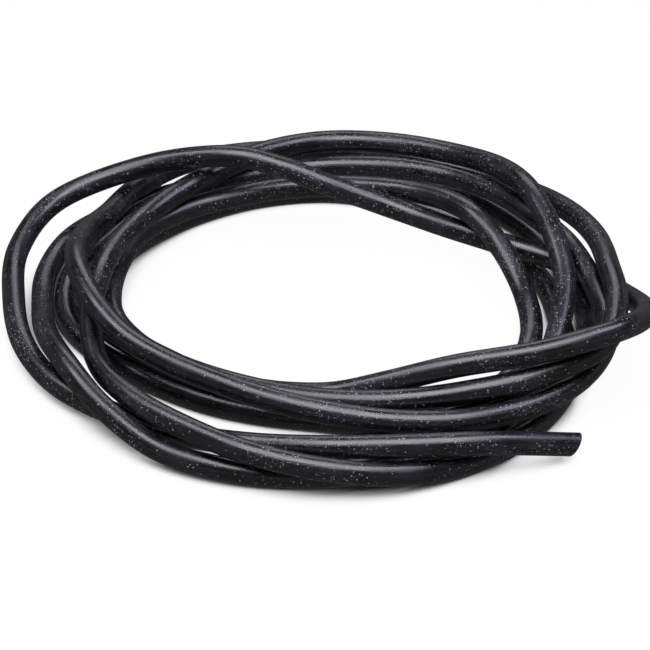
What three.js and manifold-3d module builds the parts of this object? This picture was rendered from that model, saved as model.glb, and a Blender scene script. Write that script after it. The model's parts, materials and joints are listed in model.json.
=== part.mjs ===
// A soaker hose of black recycled rubber, thrown down in a loose flat coil of a little over seven turns.
// Millimetres, +Z up, the floor at Z = 0, the middle of the coil's outline at X = Y = 0.

import * as THREE from 'three'
import Module from 'manifold-3d'
import { mergeVertices } from 'three/addons/utils/BufferGeometryUtils.js'

// ---------------------------------------------------------------- driving dimensions

const HOSE_DIAMETER = 14 // outside
const BORE_DIAMETER = 9.5 // 3/8 inch hose
const SIDES = 6 // faces round the hose
const RINGS_PER_HOUR = 2 // 24 rings in a turn
const CLEARANCE = 1.2 // kept between two passes of the hose while it settles
const FLAT_DEPTH = HOSE_DIAMETER / 10 // how much of the hose is flattened where it lies on the floor
const JOINT_GAP = 0.3 // between the coil and the free end that is laid off it
const TIP_CUT_ANGLE = 18 // degrees that the cut at the free tip leans back, its top the longer
const FREE_HOURS = 0.75 // how much of the hose's first turn is its free end
const TIP_HOUR = 4.5 // the free tip, on the first turn
const LAST_HOUR = 90.5 // the hidden end: 4 o'clock is hour 4, and each turn adds 12

// The coil is read as a clock face from above, 12 o'clock at the back (+Y) and 3 o'clock at the right (+X).
// Each row is one turn, from 4 o'clock round to 3. Each pair is the reach from the middle in millimetres and
// the height above the floor in hose diameters.
const TURNS = [
  [[213, -0.6], [190, 1], [173, 0.8], [164, 0], [180, 0], [188, 0.2], [191, 1], [117, 3], [94, 2.3],
    [103, 1.3], [115, 1.2], [172, 0.7]],
  [[190, 3.1], [137, 2.3], [108, 0.6], [103, 0.1], [113, 0], [138, 0.2], [142, 1.2], [127, 1.4], [119, 1.4],
    [112, 1.7], [111, 2.1], [127, 0.7]],
  [[142, 0.2], [137, 0.1], [116, 0], [115, 0], [127, 0], [154, 0], [163, 0], [150, 0.9], [158, 1.1],
    [161, 1.4], [152, 1.9], [168, 1]],
  [[175, 1.1], [159, 1.2], [136, 1.4], [129, 1.7], [140, 2.1], [153, 2.8], [162, 1.9], [192, 1], [203, 0],
    [187, 0.1], [168, 1.2], [162, 1.8]],
  [[180, 2.1], [145, 1.6], [119, 1.1], [113, 1], [124, 1], [152, 1], [153, 0.1], [157, 0], [159, 0],
    [150, 0], [146, 0], [148, 0]],
  [[163, 0], [172, 0], [177, 0.9], [167, 1.2], [156, 1], [138, 1.9], [134, 1.7], [138, 2.1], [169, 1.5],
    [170, 1.7], [151, 2.8], [151, 1.5]],
  [[151, 0.1], [162, 0], [170, 0], [171, 0.1], [165, 1.2], [162, 0.2], [174, 0.1], [172, 0.1], [178, 0],
    [176, 0], [164, 0], [159, 0.2]],
  [[159, 1.2], [147, 0.4], [149, 0.1], [142, 0]],
]

const RUBBER = { color: 0x17181a, roughness: 0.5, metalness: 0 }

// ---------------------------------------------------------------- the hose's route

const FIRST_HOUR = 4 // the clock hour at which each row of TURNS starts
const FLOOR_HEIGHT = HOSE_DIAMETER / 2 - FLAT_DEPTH // of the centreline of hose that lies on the floor

// A smooth curve through the values at whole hours (Catmull-Rom).
function between (values, hour) {
  const start = Math.floor(hour)
  const part = hour - start
  const [a, b, c, d] = [-1, 0, 1, 2].map(
    (step) => values[Math.min(Math.max(start + step, 0), values.length - 1)]
  )
  const slope = c - a
  const bend = 2 * a - 5 * b + 4 * c - d
  const turn = 3 * b - a - 3 * c + d
  return (2 * b + slope * part + bend * part ** 2 + turn * part ** 3) / 2
}

// The centre of each ring of the hose, as the turns were laid and before they settle on each other.
function laidRings () {
  const reaches = TURNS.flat().map((pair) => pair[0])
  const heights = TURNS.flat().map((pair) => pair[1])
  const count = (LAST_HOUR - TIP_HOUR) * RINGS_PER_HOUR + 1
  return Array.from({ length: count }, (_, ring) => {
    const hour = TIP_HOUR + ring / RINGS_PER_HOUR
    const reach = between(reaches, hour - FIRST_HOUR)
    const height = Math.max(between(heights, hour - FIRST_HOUR), 0)
    const angle = Math.PI / 2 - (hour * Math.PI) / 6
    return [reach * Math.cos(angle), reach * Math.sin(angle), FLOOR_HEIGHT + height * HOSE_DIAMETER]
  })
}

// Points along the straight runs between rings: the ring before each, and how far on it lies.
function pointsAlong (ringCount, perRun, offset) {
  const points = []
  for (let ring = 0; ring < ringCount - 1; ring++) {
    for (let step = 0; step < perRun; step++) points.push([ring, (step + offset) / perRun])
  }
  return points
}

function place (rings, [ring, part]) {
  const a = rings[ring]
  const b = rings[ring + 1]
  return [0, 1, 2].map((axis) => a[axis] * (1 - part) + b[axis] * part)
}

const SWEEPS = 400
const STIFFNESS = 0.2 // how much of a ring's move its neighbours share in each sweep
const SHARING_SWEEPS = 0.75 // the share of the sweeps in which they do
const PUSH = 1.2
const POINTS_PER_RUN = 6
const SAME_RUN = 3 // runs this close along the hose don't press on each other
const WATCHED = 2 // pairs of points that start within this many spacings are watched

// Passes of the hose that lie closer than a diameter push each other apart, and none sinks into the floor.
function settled (laid) {
  const spacing = HOSE_DIAMETER + CLEARANCE
  const points = pointsAlong(laid.length, POINTS_PER_RUN, 0.5)
  const at = points.map((point) => place(laid, point))
  const pairs = []
  for (let i = 0; i < points.length; i++) {
    for (let j = i + 1; j < points.length; j++) {
      if (points[j][0] - points[i][0] <= SAME_RUN) continue
      const apart = Math.hypot(at[j][0] - at[i][0], at[j][1] - at[i][1], at[j][2] - at[i][2])
      if (apart < WATCHED * spacing) pairs.push([points[i], points[j]])
    }
  }
  let rings = laid.map((ring) => [...ring])
  for (let sweep = 0; sweep < SWEEPS; sweep++) {
    const moves = rings.map(() => [0, 0, 0, 0])
    for (const [first, second] of pairs) {
      const p = place(rings, first)
      const q = place(rings, second)
      const apart = Math.hypot(q[0] - p[0], q[1] - p[1], q[2] - p[2])
      if (apart >= spacing) continue
      const push = (spacing - apart) / 2 / Math.max(apart, 1e-6)
      for (const [[ring, part], way] of [[first, -push], [second, push]]) {
        for (const [end, weight] of [[ring, 1 - part], [ring + 1, part]]) {
          for (let axis = 0; axis < 3; axis++) moves[end][axis] += way * weight * (q[axis] - p[axis])
          moves[end][3] += weight
        }
      }
    }
    rings = rings.map((ring, i) => {
      const share = PUSH / Math.max(moves[i][3], 1)
      return ring.map((value, axis) => value + moves[i][axis] * share)
    })
    if (sweep < SWEEPS * SHARING_SWEEPS) {
      const moved = rings.map((ring, i) => ring.map((value, axis) => value - laid[i][axis]))
      rings = rings.map((ring, i) => {
        if (i === 0 || i === rings.length - 1) return ring
        return ring.map((value, axis) => {
          const middle = (moved[i - 1][axis] + moved[i + 1][axis]) / 2
          return value + STIFFNESS * (middle - moved[i][axis])
        })
      })
    }
    for (const ring of rings) ring[2] = Math.max(ring[2], FLOOR_HEIGHT)
  }
  return rings
}

// The middle of the outline goes to the origin.
function centred (rings) {
  const middle = [0, 1].map((axis) => {
    const values = rings.map((ring) => ring[axis])
    return (Math.min(...values) + Math.max(...values)) / 2
  })
  return rings.map(([x, y, z]) => new THREE.Vector3(x - middle[0], y - middle[1], z))
}

const rings = centred(settled(laidRings()))

const MEASURED_POINTS_PER_RUN = 12

// The least gap between two passes of the hose, measured on points along it.
function leastGap (centres) {
  const points = pointsAlong(centres.length, MEASURED_POINTS_PER_RUN, 0)
  const at = points.map(([ring, part]) => centres[ring].clone().lerp(centres[ring + 1], part))
  let least = Infinity
  for (let i = 0; i < points.length; i++) {
    for (let j = i + 1; j < points.length; j++) {
      if (points[j][0] - points[i][0] > SAME_RUN) least = Math.min(least, at[i].distanceTo(at[j]))
    }
  }
  return least - HOSE_DIAMETER
}

const hoseLength = rings.slice(1).reduce((sum, ring, i) => sum + ring.distanceTo(rings[i]), 0)
console.log(`hose length ${hoseLength.toFixed(0)} mm, least gap to itself ${leastGap(rings).toFixed(2)} mm`)

// ---------------------------------------------------------------- the hose's tube

const UP = new THREE.Vector3(0, 0, 1)

// One ring of corners square to the hose, or leaning back by lean degrees.
function ringCorners (centre, along, diameter, lean) {
  const side = new THREE.Vector3().crossVectors(along, UP).normalize()
  const top = new THREE.Vector3().crossVectors(side, along).normalize()
  const leaning = top.clone().addScaledVector(along, -Math.tan(THREE.MathUtils.degToRad(lean)))
  return Array.from({ length: SIDES }, (_, corner) => {
    const angle = Math.PI / 2 + (corner * 2 * Math.PI) / SIDES
    return centre.clone()
      .addScaledVector(side, (Math.cos(angle) * diameter) / 2)
      .addScaledVector(leaning, (Math.sin(angle) * diameter) / 2)
  })
}

// A closed tube with its bore, along a run of centres.
function tube (centres, firstLean) {
  const last = centres.length - 1
  const directions = centres.map((centre, i) => {
    const before = i > 0 ? centre.clone().sub(centres[i - 1]).normalize() : null
    const after = i < last ? centres[i + 1].clone().sub(centre).normalize() : null
    if (!before) return after
    if (!after) return before
    return before.add(after).normalize()
  })
  const corners = [HOSE_DIAMETER, BORE_DIAMETER].flatMap((diameter) =>
    centres.flatMap((centre, i) => ringCorners(centre, directions[i], diameter, i === 0 ? firstLean : 0))
  )
  const inside = centres.length * SIDES
  const faces = []
  const quad = (a, b, c, d) => faces.push(a, b, c, a, c, d)
  for (let ring = 0; ring < last; ring++) {
    for (let corner = 0; corner < SIDES; corner++) {
      const here = ring * SIDES + corner
      const next = ring * SIDES + ((corner + 1) % SIDES)
      quad(here, here + SIDES, next + SIDES, next)
      quad(inside + here, inside + next, inside + next + SIDES, inside + here + SIDES)
    }
  }
  for (let corner = 0; corner < SIDES; corner++) {
    const next = (corner + 1) % SIDES
    quad(corner, next, inside + next, inside + corner)
    const end = last * SIDES
    quad(end + next, end + corner, inside + end + corner, inside + end + next)
  }
  const geometry = new THREE.BufferGeometry()
  geometry.setAttribute('position', new THREE.Float32BufferAttribute(corners.flatMap((p) => p.toArray()), 3))
  geometry.setIndex(faces)
  return mergeVertices(geometry)
}

const manifold = await Module()
manifold.setup()

// The hose's weight flattens it where it lies on the floor.
function flattened (geometry) {
  const solid = new manifold.Manifold(new manifold.Mesh({
    numProp: 3,
    vertProperties: new Float32Array(geometry.attributes.position.array),
    triVerts: new Uint32Array(geometry.index.array)
  }))
  const above = solid.trimByPlane([0, 0, 1], 0).getMesh()
  const flat = new THREE.BufferGeometry()
  flat.setAttribute('position', new THREE.Float32BufferAttribute(above.vertProperties, 3))
  flat.setIndex([...above.triVerts])
  flat.computeVertexNormals()
  return flat
}

function rubberPiece (name, centres, lean) {
  const piece = new THREE.Mesh(flattened(tube(centres, lean)), new THREE.MeshStandardMaterial(RUBBER))
  piece.name = name
  return piece
}

// The free end stops in the middle of a straight run, so both faces of the joint are square to the hose.
const freeRings = Math.floor(FREE_HOURS * RINGS_PER_HOUR) + 1
const runStart = rings[freeRings - 1]
const runEnd = rings[freeRings]
const alongRun = runEnd.clone().sub(runStart).normalize()
const joint = runStart.clone().lerp(runEnd, 0.5)
const freeEndStop = joint.clone().addScaledVector(alongRun, -JOINT_GAP / 2)
const coilStart = joint.clone().addScaledVector(alongRun, JOINT_GAP / 2)

const hose = new THREE.Group()
hose.add(rubberPiece('hose_coil', [coilStart, ...rings.slice(freeRings)], 0))
hose.add(rubberPiece('hose_free_end', [...rings.slice(0, freeRings), freeEndStop], TIP_CUT_ANGLE))

export default hose
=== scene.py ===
# %% [markdown]
# # A soaker hose in a loose coil
#
# One black rubber hose lies on a white floor, thrown down in a little over seven turns that cross over and
# under each other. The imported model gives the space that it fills. This lesson lays the same hose again as a
# round tube with a bore, and gives it the look of porous recycled rubber.

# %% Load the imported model
import json
import math

import bpy
import numpy as np
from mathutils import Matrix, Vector

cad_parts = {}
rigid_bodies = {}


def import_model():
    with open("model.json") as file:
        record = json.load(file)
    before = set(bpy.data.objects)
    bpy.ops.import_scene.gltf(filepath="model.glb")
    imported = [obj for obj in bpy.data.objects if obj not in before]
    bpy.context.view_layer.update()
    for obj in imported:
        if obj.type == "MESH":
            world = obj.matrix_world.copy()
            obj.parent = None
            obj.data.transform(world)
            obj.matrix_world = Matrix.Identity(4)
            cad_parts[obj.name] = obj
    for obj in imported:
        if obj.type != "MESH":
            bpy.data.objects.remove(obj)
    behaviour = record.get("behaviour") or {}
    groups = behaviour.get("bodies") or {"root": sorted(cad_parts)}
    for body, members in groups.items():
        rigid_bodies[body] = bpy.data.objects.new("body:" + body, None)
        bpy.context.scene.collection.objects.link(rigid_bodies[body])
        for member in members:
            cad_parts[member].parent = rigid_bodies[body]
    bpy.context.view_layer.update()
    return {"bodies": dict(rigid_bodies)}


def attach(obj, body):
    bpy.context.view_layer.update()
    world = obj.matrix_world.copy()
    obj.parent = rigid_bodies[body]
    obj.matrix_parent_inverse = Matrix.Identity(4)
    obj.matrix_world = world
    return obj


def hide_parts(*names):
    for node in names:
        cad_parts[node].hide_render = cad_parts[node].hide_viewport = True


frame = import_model()

# %% [markdown]
# ## The hose's own sizes
#
# A small soaker hose has a bore of 3/8 inch and is about 14 mm thick. It is soft enough to be pressed flat
# by its own weight where it lies on the floor. All sizes here are in metres.

# %% Sizes
HOSE_DIAMETER = 0.014
BORE_DIAMETER = 0.0095
CLEARANCE = 0.0012  # kept between two passes of the hose while it settles
FLAT_DEPTH = HOSE_DIAMETER / 10
FLOOR_HEIGHT = HOSE_DIAMETER / 2 - FLAT_DEPTH  # of the middle of hose that lies on the floor

# %% [markdown]
# ## The route, read off a clock face
#
# From above, the coil is a clock face with 12 o'clock at the back and 3 o'clock at the right. Each row is
# one turn, from 4 o'clock round to 3. Each pair is the reach from the middle in metres and the height above
# the floor in hose diameters. A table by the hour is easier to read and to correct than a list of points.

# %% The turns
FIRST_HOUR = 4
TIP_HOUR = 4.5
LAST_HOUR = 90.5  # the hidden end; each turn adds 12
RINGS_PER_HOUR = 2

TURNS = [
    [(0.213, -0.6), (0.190, 1), (0.173, 0.8), (0.164, 0), (0.180, 0), (0.188, 0.2),
     (0.191, 1), (0.117, 3), (0.094, 2.3), (0.103, 1.3), (0.115, 1.2), (0.172, 0.7)],
    [(0.190, 3.1), (0.137, 2.3), (0.108, 0.6), (0.103, 0.1), (0.113, 0), (0.138, 0.2),
     (0.142, 1.2), (0.127, 1.4), (0.119, 1.4), (0.112, 1.7), (0.111, 2.1), (0.127, 0.7)],
    [(0.142, 0.2), (0.137, 0.1), (0.116, 0), (0.115, 0), (0.127, 0), (0.154, 0),
     (0.163, 0), (0.150, 0.9), (0.158, 1.1), (0.161, 1.4), (0.152, 1.9), (0.168, 1)],
    [(0.175, 1.1), (0.159, 1.2), (0.136, 1.4), (0.129, 1.7), (0.140, 2.1), (0.153, 2.8),
     (0.162, 1.9), (0.192, 1), (0.203, 0), (0.187, 0.1), (0.168, 1.2), (0.162, 1.8)],
    [(0.180, 2.1), (0.145, 1.6), (0.119, 1.1), (0.113, 1), (0.124, 1), (0.152, 1),
     (0.153, 0.1), (0.157, 0), (0.159, 0), (0.150, 0), (0.146, 0), (0.148, 0)],
    [(0.163, 0), (0.172, 0), (0.177, 0.9), (0.167, 1.2), (0.156, 1), (0.138, 1.9),
     (0.134, 1.7), (0.138, 2.1), (0.169, 1.5), (0.170, 1.7), (0.151, 2.8), (0.151, 1.5)],
    [(0.151, 0.1), (0.162, 0), (0.170, 0), (0.171, 0.1), (0.165, 1.2), (0.162, 0.2),
     (0.174, 0.1), (0.172, 0.1), (0.178, 0), (0.176, 0), (0.164, 0), (0.159, 0.2)],
    [(0.159, 1.2), (0.147, 0.4), (0.149, 0.1), (0.142, 0)],
]


def between(values, where):
    """A smooth curve through evenly spaced values (Catmull-Rom)."""
    start = np.floor(where).astype(int)
    part = (where - start).reshape(-1, *[1] * (values.ndim - 1))
    a, b, c, d = [values[np.clip(start + step, 0, len(values) - 1)] for step in (-1, 0, 1, 2)]
    return (2 * b + (c - a) * part + (2 * a - 5 * b + 4 * c - d) * part**2
            + (3 * b - a - 3 * c + d) * part**3) / 2


ring_count = round((LAST_HOUR - TIP_HOUR) * RINGS_PER_HOUR) + 1
hours = TIP_HOUR + np.arange(ring_count) / RINGS_PER_HOUR
table = np.array([pair for turn in TURNS for pair in turn], float)
reach, height = between(table, hours - FIRST_HOUR).T
angle = np.pi / 2 - hours * np.pi / 6
laid = np.column_stack([
    reach * np.cos(angle),
    reach * np.sin(angle),
    FLOOR_HEIGHT + np.maximum(height, 0) * HOSE_DIAMETER,
])
print(len(laid), "rings laid")

# %% [markdown]
# ## Let the turns settle on each other
#
# As the table gives them, some turns would lie inside each other. A simple loop parts them: wherever two
# passes come closer than a diameter they push each other apart, each ring shares its move with its neighbours,
# and nothing sinks into the floor. The loop is quick and gives the same result every time, but it knows no
# weight. The heights stay near those of the table, so some spans ride higher than a real hose's would. A
# cloth or rigid body simulation would let them sag.

# %% Settle
SWEEPS = 400
STIFFNESS = 0.2  # how much of a ring's move its neighbours share in each sweep
SHARING_SWEEPS = 0.75  # the share of the sweeps in which they do
PUSH = 1.2  # a little over 1, so that fewer sweeps are needed
POINTS_PER_RUN = 6
SAME_RUN = 3  # runs this close along the hose don't press on each other
WATCHED = 2  # pairs of points that start within this many spacings are watched
LEAST_DISTANCE = 1e-9  # keeps the loop from dividing by nothing


def points_along(ring_count, per_run, offset):
    """The ring before each point along the hose, and how far on towards the next it lies."""
    ring = np.repeat(np.arange(ring_count - 1), per_run)
    part = np.tile((np.arange(per_run) + offset) / per_run, ring_count - 1)
    return ring, part[:, None]


def point_at(rings, ring, part):
    return rings[ring] * (1 - part) + rings[ring + 1] * part


def settled(laid):
    spacing = HOSE_DIAMETER + CLEARANCE
    ring, part = points_along(len(laid), POINTS_PER_RUN, 0.5)
    at = point_at(laid, ring, part)
    apart = np.linalg.norm(at[:, None] - at[None], axis=-1)
    first, second = np.nonzero((apart < WATCHED * spacing) & (ring[None] - ring[:, None] > SAME_RUN))
    rings = laid.copy()
    for sweep in range(SWEEPS):
        at = point_at(rings, ring, part)
        across = at[second] - at[first]
        apart = np.linalg.norm(across, axis=1)
        near = apart < spacing
        overlap = (spacing - apart[near]) / 2 / np.maximum(apart[near], LEAST_DISTANCE)
        push = across[near] * overlap[:, None]
        moves = np.zeros_like(rings)
        weights = np.zeros(len(rings))
        for points, way in ((first[near], -1), (second[near], 1)):
            for end, weight in ((ring[points], 1 - part[points]), (ring[points] + 1, part[points])):
                np.add.at(moves, end, way * weight * push)
                np.add.at(weights, end, weight[:, 0])
        rings = rings + PUSH * moves / np.maximum(weights, 1)[:, None]
        if sweep < SWEEPS * SHARING_SWEEPS:
            moved = rings - laid
            rings[1:-1] += STIFFNESS * ((moved[:-2] + moved[2:]) / 2 - moved[1:-1])
        rings[:, 2] = np.maximum(rings[:, 2], FLOOR_HEIGHT)
    return rings


rings = settled(laid)
middle = (rings.min(axis=0) + rings.max(axis=0)) / 2
middle[2] = 0
rings -= middle
print("the middle of the outline was at", (middle * 1000).round(2), "mm")

# %% [markdown]
# ## A smooth centreline
#
# The rings lie 15 degrees apart. The same smooth curve that ran through the hours now runs through the
# rings, with a point every 3 to 4 mm, so that the tube shows no corners.

# %% Centreline
STEPS_PER_RUN = 12
where = np.arange((len(rings) - 1) * STEPS_PER_RUN + 1) / STEPS_PER_RUN
centreline = between(rings, where)
centreline[:, 2] = np.maximum(centreline[:, 2], FLOOR_HEIGHT)

# %% [markdown]
# ## The camera
#
# The photograph looks down on the coil at 32 degrees from a little under two metres away, with a long lens.
# The floor point in the middle of the photograph is where the clock face has its centre.

# %% Camera
CAMERA_ELEVATION = math.radians(32)
CAMERA_DISTANCE = 1.95
LENS_PIXELS = 3175
PHOTO_WIDTH = 650
SENSOR_WIDTH = 36

target = Vector(-middle)
camera_data = bpy.data.cameras.new("photo_camera")
camera_data.sensor_width = SENSOR_WIDTH
camera_data.lens = LENS_PIXELS / PHOTO_WIDTH * SENSOR_WIDTH
camera = bpy.data.objects.new("photo_camera", camera_data)
bpy.context.scene.collection.objects.link(camera)
back = Vector((0, -math.cos(CAMERA_ELEVATION), math.sin(CAMERA_ELEVATION)))
camera.location = target + back * CAMERA_DISTANCE
camera.rotation_euler = (-back).to_track_quat("-Z", "Y").to_euler()
bpy.context.scene.camera = camera
print("camera at", [round(v, 3) for v in camera.location], f"with a {camera_data.lens:.0f} mm lens")

# %% [markdown]
# ## The tube
#
# A curve with a round bevel is the usual way to make a hose. It is made into a mesh, because what follows
# moves single points of it: the knife's cut at the tip, and the underside where it lies on the floor.

# %% Tube
ROUNDNESS = 8


def select_only(thing):
    bpy.ops.object.select_all(action="DESELECT")
    thing.select_set(True)
    bpy.context.view_layer.objects.active = thing


curve = bpy.data.curves.new("soaker_hose", "CURVE")
curve.dimensions = "3D"
curve.bevel_depth = HOSE_DIAMETER / 2
curve.bevel_resolution = ROUNDNESS
curve.use_fill_caps = False
spline = curve.splines.new("POLY")
spline.points.add(len(centreline) - 1)
spline.points.foreach_set("co", np.column_stack([centreline, np.ones(len(centreline))]).ravel())
hose = bpy.data.objects.new("soaker_hose", curve)
bpy.context.scene.collection.objects.link(hose)
select_only(hose)
bpy.ops.object.convert(target="MESH")
hose = bpy.context.view_layer.objects.active
sides = len(hose.data.vertices) // len(centreline)
print("tube of", sides, "sides,", len(hose.data.polygons), "faces")

# %% [markdown]
# Its grain was drawn out along it as it was pressed, so the finish has to know where it is on the hose. Each
# point keeps its place as if the hose were pulled straight: two numbers round the hose, one along it.

# %% Where each point lies on the hose
travelled = np.concatenate([[0], np.cumsum(np.linalg.norm(np.diff(centreline, axis=0), axis=1))])
ring_of = np.arange(len(hose.data.vertices)) // sides
turn = np.arange(len(hose.data.vertices)) % sides * 2 * np.pi / sides
straight = np.column_stack([
    np.cos(turn) * HOSE_DIAMETER / 2,
    np.sin(turn) * HOSE_DIAMETER / 2,
    travelled[ring_of],
])
along_hose = hose.data.attributes.new("along_hose", "FLOAT_VECTOR", "POINT")
along_hose.data.foreach_set("vector", straight.ravel())
print(len(straight), "points placed on the straight hose")

# %% [markdown]
# The free tip was cut with a knife, not quite square: its top and far side are the longer. Each point of the
# first rings moves along the hose by how far up and how far back it lies.

# %% Cut the tip
TIP_CUT_ANGLE = math.radians(20)
TIP_CUT_TURN = math.radians(14)
BLEND_RINGS = 4


def read_points(thing):
    """The points of a mesh, one in each row."""
    flat = np.empty(len(thing.data.vertices) * 3)
    thing.data.vertices.foreach_get("co", flat)
    return flat.reshape(-1, 3)


def write_points(thing, points):
    thing.data.vertices.foreach_set("co", points.ravel())
    thing.data.update()


points = read_points(hose)
along = centreline[0] - centreline[1]
along /= np.linalg.norm(along)
near_side = np.cross(along, (0, 0, 1))
near_side /= np.linalg.norm(near_side)
up = np.cross(near_side, along)
fade = np.clip(1 - ring_of / BLEND_RINGS, 0, 1)
across = points - centreline[ring_of]
longer = across @ up * math.tan(TIP_CUT_ANGLE) - across @ near_side * math.tan(TIP_CUT_TURN)
points += (fade * longer)[:, None] * along
write_points(hose, points)
print(f"the cut runs over {np.ptp(fade * longer) * 1000:.1f} mm of the tip")

# %% [markdown]
# So far the tube has no thickness. A Solidify modifier grows the wall inwards, so the bore runs the whole
# way through and shows at both cut ends.

# %% Wall and bore
select_only(hose)
wall = hose.modifiers.new("wall", "SOLIDIFY")
wall.thickness = (HOSE_DIAMETER - BORE_DIAMETER) / 2
wall.offset = -1
wall.use_even_offset = True
bpy.ops.object.modifier_apply(modifier="wall")
print("with its wall:", len(hose.data.polygons), "faces")

# %% [markdown]
# Where the hose lies on the floor, its weight presses the underside flat, so every point below the floor
# comes up to it. The skin is shaded smooth, and edges steeper than 40 degrees stay sharp, as at the cut ends.

# %% Flatten the underside
SMOOTH_ANGLE = math.radians(40)

points = read_points(hose)
print((points[:, 2] < 0).sum(), "points were below the floor")
points[:, 2] = np.maximum(points[:, 2], 0)
write_points(hose, points)
select_only(hose)
bpy.ops.object.shade_smooth_by_angle(angle=SMOOTH_ANGLE)

# %% [markdown]
# ## Black porous rubber
#
# The hose is pressed out of rubber crumb. Its skin is a dark charcoal with a satin sheen. Pale crumbs show
# as flecks, thicker in some patches than in others, short scratches run along it, and faint ridges from the
# die make the highlight waver. A few helpers keep the nodes readable: each makes one node, sets or links
# its inputs, and gives back its output.

# %% Small helpers for nodes
def value_node(group, kind, operation, first, second):
    """A Math or Vector Math node; each input is a number, a tuple or an output to link."""
    node = group.nodes.new(kind)
    node.operation = operation
    for socket, source in zip(node.inputs, (first, second)):
        if isinstance(source, (int, float, tuple)):
            socket.default_value = source
        else:
            group.links.new(source, socket)
    return node.outputs[0]


def math_node(group, operation, first, second):
    return value_node(group, "ShaderNodeMath", operation, first, second)


def stretch(group, vector, factors):
    return value_node(group, "ShaderNodeVectorMath", "MULTIPLY", vector, factors)


def remap(group, source, from_min, from_max, to_min=0.0, to_max=1.0):
    node = group.nodes.new("ShaderNodeMapRange")
    names = ("From Min", "From Max", "To Min", "To Max")
    for name, value in zip(names, (from_min, from_max, to_min, to_max)):
        node.inputs[name].default_value = value
    group.links.new(source, node.inputs["Value"])
    return node.outputs["Result"]


def noise(group, vector, scale, detail=2.0):
    node = group.nodes.new("ShaderNodeTexNoise")
    node.inputs["Detail"].default_value = detail
    group.links.new(vector, node.inputs["Vector"])
    if isinstance(scale, float):
        node.inputs["Scale"].default_value = scale
    else:
        group.links.new(scale, node.inputs["Scale"])
    return node


# %% [markdown]
# ### Flecks
#
# A Voronoi pattern parts the skin into small cells. A share of them get a spot in their middle, by the chance
# that each cell's colour gives, so no two flecks are alike. Noise bends the cells so that the spots aren't
# round, and slower noise crowds them in patches. Dust is the same again, smaller and fainter. Scratches are
# spots on the straightened hose, drawn out along it.

# %% Flecks, dust and scratches
CRUMBS_PER_METRE = 700.0
CRUMB_RADIUS = 0.36  # of a cell's size
DUST_PER_METRE = 1300.0
DUST_RADIUS = 0.42
DUST_STRENGTH = 0.22
SCRATCHES_PER_METRE = 1300.0
SCRATCH_RADIUS = 0.25
SCRATCH_STRETCH = (1, 1, 0.2)
SPOT_CORE = 0.5  # the share of a spot's radius that is at full strength
FAINTEST_SPOT = 0.35
WAVER_PER_METRE = 700.0
WAVER = 0.0016
PATCHES_PER_METRE = 22.0
PATCH_NOISE = (0.4, 0.64)
PATCH_CROWDING = (0.25, 2.4)


def flecks(group, vector, scale, radius, share):
    """Spots in a share of the cells of a Voronoi pattern, 1 in their middle."""
    cells = group.nodes.new("ShaderNodeTexVoronoi")
    group.links.new(vector, cells.inputs["Vector"])
    cells.inputs["Scale"].default_value = scale
    spot = remap(group, cells.outputs["Distance"], radius, radius * SPOT_CORE)
    chance = group.nodes.new("ShaderNodeSeparateColor")
    group.links.new(cells.outputs["Color"], chance.inputs["Color"])
    chosen = math_node(group, "LESS_THAN", chance.outputs["Red"], share)
    strength = remap(group, chance.outputs["Green"], 0, 1, FAINTEST_SPOT, 1)
    return math_node(group, "MULTIPLY", math_node(group, "MULTIPLY", spot, strength), chosen)


def pale_marks(group, place, on_hose, fleck_share, scratch_share):
    """All that is pale on the skin: crumbs, dust and scratches."""
    waver = noise(group, place, WAVER_PER_METRE).outputs["Color"]
    uneven = value_node(group, "ShaderNodeVectorMath", "ADD", place, stretch(group, waver, (WAVER,) * 3))
    slow = noise(group, place, PATCHES_PER_METRE, 1.0).outputs["Fac"]
    share = math_node(group, "MULTIPLY", fleck_share, remap(group, slow, *PATCH_NOISE, *PATCH_CROWDING))
    crumbs = flecks(group, uneven, CRUMBS_PER_METRE, CRUMB_RADIUS, share)
    dust = flecks(group, uneven, DUST_PER_METRE, DUST_RADIUS, share)
    drawn_out = stretch(group, on_hose, SCRATCH_STRETCH)
    scratches = flecks(group, drawn_out, SCRATCHES_PER_METRE, SCRATCH_RADIUS, scratch_share)
    pale = math_node(group, "MAXIMUM", crumbs, math_node(group, "MULTIPLY", dust, DUST_STRENGTH))
    return math_node(group, "MAXIMUM", pale, scratches)


# %% [markdown]
# ### The skin
#
# The marks, a cloudy mottle and the height of the surface make up one node group with named inputs, so that
# it could be reused on any fitting of the same stuff. The height has the ridges that the die drew along the
# hose, a fine grain, and the pale marks, which stand a little proud.

# %% Rubber skin node group
MOTTLE_DETAIL = 6.0
RIDGES_PER_METRE = 420.0
RIDGE_STRETCH = (1, 1, 0.05)
RIDGE_HEIGHT = 1.6
GRAINS_PER_METRE = 1100.0
GRAIN_HEIGHT = 0.7
FINE_DETAIL = 3.0


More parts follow.
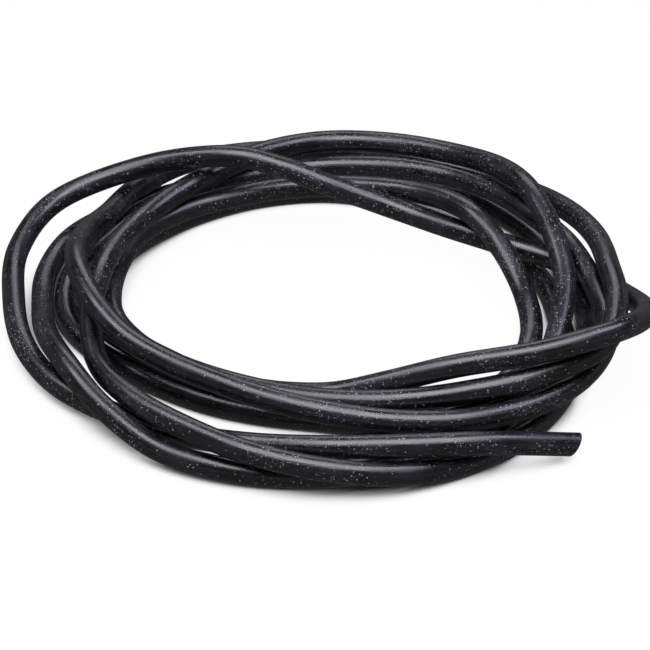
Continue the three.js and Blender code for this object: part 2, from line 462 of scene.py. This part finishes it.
def rubber_skin():
    group = bpy.data.node_groups.new("rubber_skin", "ShaderNodeTree")
    for name in ("Place", "Along Hose"):
        group.interface.new_socket(name, in_out="INPUT", socket_type="NodeSocketVector")
    for name, value in (("Fleck Share", 0.2), ("Scratch Share", 0.04), ("Mottle Size", 60.0)):
        socket = group.interface.new_socket(name, in_out="INPUT", socket_type="NodeSocketFloat")
        socket.default_value = value
    for name in ("Flecks", "Mottle", "Height"):
        group.interface.new_socket(name, in_out="OUTPUT", socket_type="NodeSocketFloat")
    inside = group.nodes.new("NodeGroupInput").outputs
    outside = group.nodes.new("NodeGroupOutput").inputs

    place = inside["Place"]
    pale = pale_marks(group, place, inside["Along Hose"], inside["Fleck Share"], inside["Scratch Share"])
    mottle = noise(group, place, inside["Mottle Size"], MOTTLE_DETAIL).outputs["Fac"]
    drawn_out = stretch(group, inside["Along Hose"], RIDGE_STRETCH)
    ridges = noise(group, drawn_out, RIDGES_PER_METRE, FINE_DETAIL).outputs["Fac"]
    grain = noise(group, place, GRAINS_PER_METRE, FINE_DETAIL).outputs["Fac"]
    height = math_node(group, "ADD", math_node(group, "MULTIPLY", grain, GRAIN_HEIGHT), pale)
    height = math_node(group, "ADD", height, math_node(group, "MULTIPLY", ridges, RIDGE_HEIGHT))
    for name, source in (("Flecks", pale), ("Mottle", mottle), ("Height", height)):
        group.links.new(source, outside[name])
    return group


# %% [markdown]
# ### The material
#
# The mottle moves the colour between near black and a dusty charcoal, and the sheen between satin and a
# little duller. The flecks lie over that colour. Gloss that is the same all over is set on the shader itself.

# %% Rubber material
RUBBER_DARK = (0.0013, 0.0011, 0.0022, 1)
RUBBER_LIGHT = (0.0115, 0.010, 0.0175, 1)
FLECK_COLOUR = (0.42, 0.42, 0.46, 1)
DUSTY_MOTTLE = (0.4, 0.68)
SATIN_MOTTLE = (0.3, 0.7)
SATIN_ROUGHNESS = (0.25, 0.36)
RUBBER_IOR = 1.85
BUMP_STRENGTH = 0.6
BUMP_DISTANCE = 0.0002


def mix_colours(tree, factor, first, second):
    node = tree.nodes.new("ShaderNodeMix")
    node.data_type = "RGBA"
    tree.links.new(factor, node.inputs["Factor"])
    for socket, source in ((node.inputs["A"], first), (node.inputs["B"], second)):
        if isinstance(source, tuple):
            socket.default_value = source
        else:
            tree.links.new(source, socket)
    return node.outputs["Result"]


def black_rubber():
    material = bpy.data.materials.new("black_porous_rubber")
    material.use_nodes = True
    tree = material.node_tree
    rubber = tree.nodes["Principled BSDF"].inputs
    place = tree.nodes.new("ShaderNodeTexCoord")
    on_hose = tree.nodes.new("ShaderNodeAttribute")
    on_hose.attribute_name = "along_hose"
    skin = tree.nodes.new("ShaderNodeGroup")
    skin.node_tree = rubber_skin()
    tree.links.new(place.outputs["Object"], skin.inputs["Place"])
    tree.links.new(on_hose.outputs["Vector"], skin.inputs["Along Hose"])

    dusty = remap(tree, skin.outputs["Mottle"], *DUSTY_MOTTLE)
    plain = mix_colours(tree, dusty, RUBBER_DARK, RUBBER_LIGHT)
    flecked = mix_colours(tree, skin.outputs["Flecks"], plain, FLECK_COLOUR)
    tree.links.new(flecked, rubber["Base Color"])
    satin = remap(tree, skin.outputs["Mottle"], *SATIN_MOTTLE, *SATIN_ROUGHNESS)
    tree.links.new(satin, rubber["Roughness"])
    rubber["IOR"].default_value = RUBBER_IOR
    bump = tree.nodes.new("ShaderNodeBump")
    bump.inputs["Strength"].default_value = BUMP_STRENGTH
    bump.inputs["Distance"].default_value = BUMP_DISTANCE
    tree.links.new(skin.outputs["Height"], bump.inputs["Height"])
    tree.links.new(bump.outputs["Normal"], rubber["Normal"])
    return material


hose.data.materials.append(black_rubber())
print("the hose wears", [material.name for material in hose.data.materials])

# %% [markdown]
# ## The floor
#
# The hose was photographed on a white sweep. The floor is white to the camera. Where the turns shut it in,
# Ambient Occlusion takes its glow away: a painted shade that keeps the gaps in the coil dark and stands for
# the floor's soft shadow. The lower half of the real hose is dark too, so the floor is dim in reflections.

# %% Floor
FLOOR_SIZE = 8
FLOOR_COLOUR = (0.9, 0.9, 0.9, 1)
FLOOR_GLOW_TO_CAMERA = 0.97
FLOOR_IN_REFLECTIONS = 0.1
SHADED_OPENNESS = 0.2  # at this openness and below, no glow is left
OPEN_OPENNESS = 0.6  # from here on the glow is whole
SHADE_REACH = 0.022


def stage_white(name):
    material = bpy.data.materials.new(name)
    material.use_nodes = True
    tree = material.node_tree
    tree.nodes.remove(tree.nodes["Principled BSDF"])
    matt = tree.nodes.new("ShaderNodeBsdfDiffuse")
    matt.inputs["Color"].default_value = FLOOR_COLOUR
    openness = tree.nodes.new("ShaderNodeAmbientOcclusion")
    openness.inputs["Distance"].default_value = SHADE_REACH
    # painted shade: the glow to the camera fades where Ambient Occlusion finds the turns close
    glow_with_painted_shade = remap(tree, openness.outputs["AO"], SHADED_OPENNESS, OPEN_OPENNESS, 0, FLOOR_GLOW_TO_CAMERA)
    ray = tree.nodes.new("ShaderNodeLightPath").outputs
    to_camera = math_node(tree, "MULTIPLY", ray["Is Camera Ray"], glow_with_painted_shade)
    glow = tree.nodes.new("ShaderNodeEmission")
    strength = remap(tree, ray["Is Glossy Ray"], 0, 1, 1, FLOOR_IN_REFLECTIONS)
    tree.links.new(strength, glow.inputs["Strength"])
    mix = tree.nodes.new("ShaderNodeMixShader")
    tree.links.new(math_node(tree, "MAXIMUM", to_camera, ray["Is Glossy Ray"]), mix.inputs["Fac"])
    tree.links.new(matt.outputs["BSDF"], mix.inputs[1])
    tree.links.new(glow.outputs["Emission"], mix.inputs[2])
    tree.links.new(mix.outputs["Shader"], tree.nodes["Material Output"].inputs["Surface"])
    return material


bpy.ops.object.select_all(action="DESELECT")
bpy.ops.mesh.primitive_plane_add(size=FLOOR_SIZE, location=(0, 0, 0))
floor = bpy.context.view_layer.objects.active
floor.name = "floor"
floor.data.materials.append(stage_white("floor_white"))
print("floor of", FLOOR_SIZE, "by", FLOOR_SIZE, "metres")

# %% [markdown]
# ## The sky
#
# The camera sees white behind the floor. The hose mirrors a dark room instead, a little lighter near the
# floor's edge than overhead, and a faint fill keeps its shaded side from going black.

# %% Sky
SKY_FILL = 0.03
HORIZON = 0.2
CEILING = 0.01
HORIZON_HEIGHT = 0.1  # Z of the direction, 0 level and 1 straight up, below which HORIZON holds
CEILING_HEIGHT = 0.4  # and above which CEILING holds

world = bpy.data.worlds.new("white_sweep_dark_room")
bpy.context.scene.world = world
world.use_nodes = True
room = world.node_tree
direction = room.nodes.new("ShaderNodeTexCoord")
parts = room.nodes.new("ShaderNodeSeparateXYZ")
room.links.new(direction.outputs["Generated"], parts.inputs["Vector"])
sweep = remap(room, parts.outputs["Z"], HORIZON_HEIGHT, CEILING_HEIGHT, HORIZON, CEILING)
ray = room.nodes.new("ShaderNodeLightPath").outputs
reflected = math_node(room, "MAXIMUM", math_node(room, "MULTIPLY", ray["Is Glossy Ray"], sweep), SKY_FILL)
level = math_node(room, "MAXIMUM", ray["Is Camera Ray"], reflected)
room.links.new(level, room.nodes["Background"].inputs["Strength"])
room.nodes["Background"].inputs["Color"].default_value = (1, 1, 1, 1)
print("sky fill", SKY_FILL, "and up to", HORIZON, "in reflections")

# %% [markdown]
# ## The lamps
#
# A black satin tube shows little but what it mirrors. So each softbox stands where some turns look: the front
# one draws the highlight on the turns that run from left to right, the side ones on those that run slantwise,
# with the cool one at the right, and the dim one at the back on those that run away from the camera.

# %% Lamps
VIOLET_WHITE = (0.965, 0.93, 1.0)
COOL_WHITE = (0.8, 0.86, 1.0)
BACK_WHITE = (0.96, 0.93, 1.0)


def softbox(name, place, size, watts, colour):
    lamp_data = bpy.data.lights.new(name, "AREA")
    lamp_data.shape = "RECTANGLE"
    lamp_data.size, lamp_data.size_y = size
    lamp_data.energy = watts
    lamp_data.color = colour
    lamp = bpy.data.objects.new(name, lamp_data)
    bpy.context.scene.collection.objects.link(lamp)
    lamp.location = place
    lamp.rotation_euler = (-Vector(place)).to_track_quat("-Z", "Y").to_euler()
    print(name, "at", place, "with", watts, "W")


softbox("front_softbox", place=(0, -0.4, 1.15), size=(1.2, 0.8), watts=13.5, colour=VIOLET_WHITE)
softbox("left_softbox", place=(-0.7, 0.15, 1.0), size=(0.45, 0.5), watts=3, colour=VIOLET_WHITE)
softbox("right_softbox", place=(0.7, 0.1, 1.0), size=(0.45, 0.5), watts=3, colour=COOL_WHITE)
softbox("back_softbox", place=(0, 1.15, 0.95), size=(0.8, 0.45), watts=2.5, colour=BACK_WHITE)

bpy.context.scene.view_settings.view_transform = "Standard"

# %% [markdown]
# ## Hand over
#
# The hose rides on the model's only body and stands for both of its solids, which are hidden. It is a free
# cord.

body = next(iter(frame["bodies"]))
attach(hose, body)
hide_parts("hose_coil", "hose_free_end")
print("the hose rides on", body)
